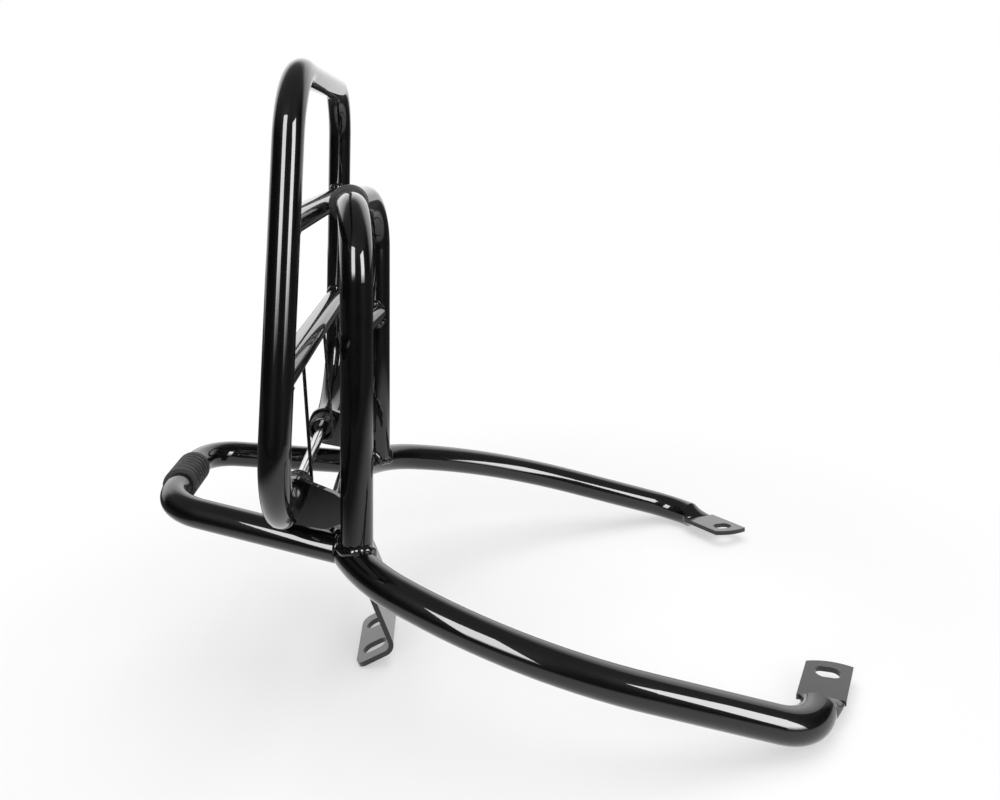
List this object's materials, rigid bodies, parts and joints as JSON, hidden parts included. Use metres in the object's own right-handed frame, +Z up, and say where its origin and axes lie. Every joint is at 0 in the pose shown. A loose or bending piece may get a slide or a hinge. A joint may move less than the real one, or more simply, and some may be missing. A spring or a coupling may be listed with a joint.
{
  "type": "motorcycle luggage rack",
  "caption": "Black tubular scooter luggage rack: sloping horseshoe base with slotted tabs, upright hoop, rear loop and a sprung back panel that folds rearward.",
  "frame": {"origin": "middle of the rack's footprint at ground level, halfway along its length and its width", "axes": "+X forward towards the slotted tabs, +Y to the left, +Z up"},
  "size_m": [0.3924, 0.2812, 0.3677],
  "materials": {
    "gloss_black": "gloss black paint",
    "rubber": "matte",
    "bright_steel": "bright zinc",
    "spring_steel": "dark spring wire"
  },
  "bodies": {
    "frame": {"main_tube": "gloss_black", "rear_loop": "gloss_black", "hoop_tube": "gloss_black", "hoop_crossbar": "gloss_black", "stop_sleeve": "rubber", "rest_sleeve": "rubber", "lower_bracket": "gloss_black", "hinge_lug_left": "gloss_black", "hinge_lug_right": "gloss_black", "pivot_boss_left": "gloss_black", "pivot_boss_right": "gloss_black"},
    "panel": {"panel_tube": "gloss_black", "panel_low_bar": "gloss_black", "panel_high_bar": "gloss_black", "pivot_rod": "bright_steel", "stub_plug_left": "gloss_black", "stub_plug_right": "gloss_black", "pivot_washer_left": "bright_steel", "pivot_washer_right": "bright_steel", "torsion_spring_left": "spring_steel", "torsion_spring_right": "spring_steel"}
  },
  "joints": [
    {"name": "panel_fold", "type": "hinge", "parent": "frame", "child": "panel", "pos_m": [-0.10867, 0, 0.12632], "axis": [0, -1, 0], "range_deg": [0, 87.6], "stiffness_Nm_per_rad": 0.5, "springref_deg": -57.3, "deforming": ["torsion_spring_left", "torsion_spring_right"]}
  ]
}
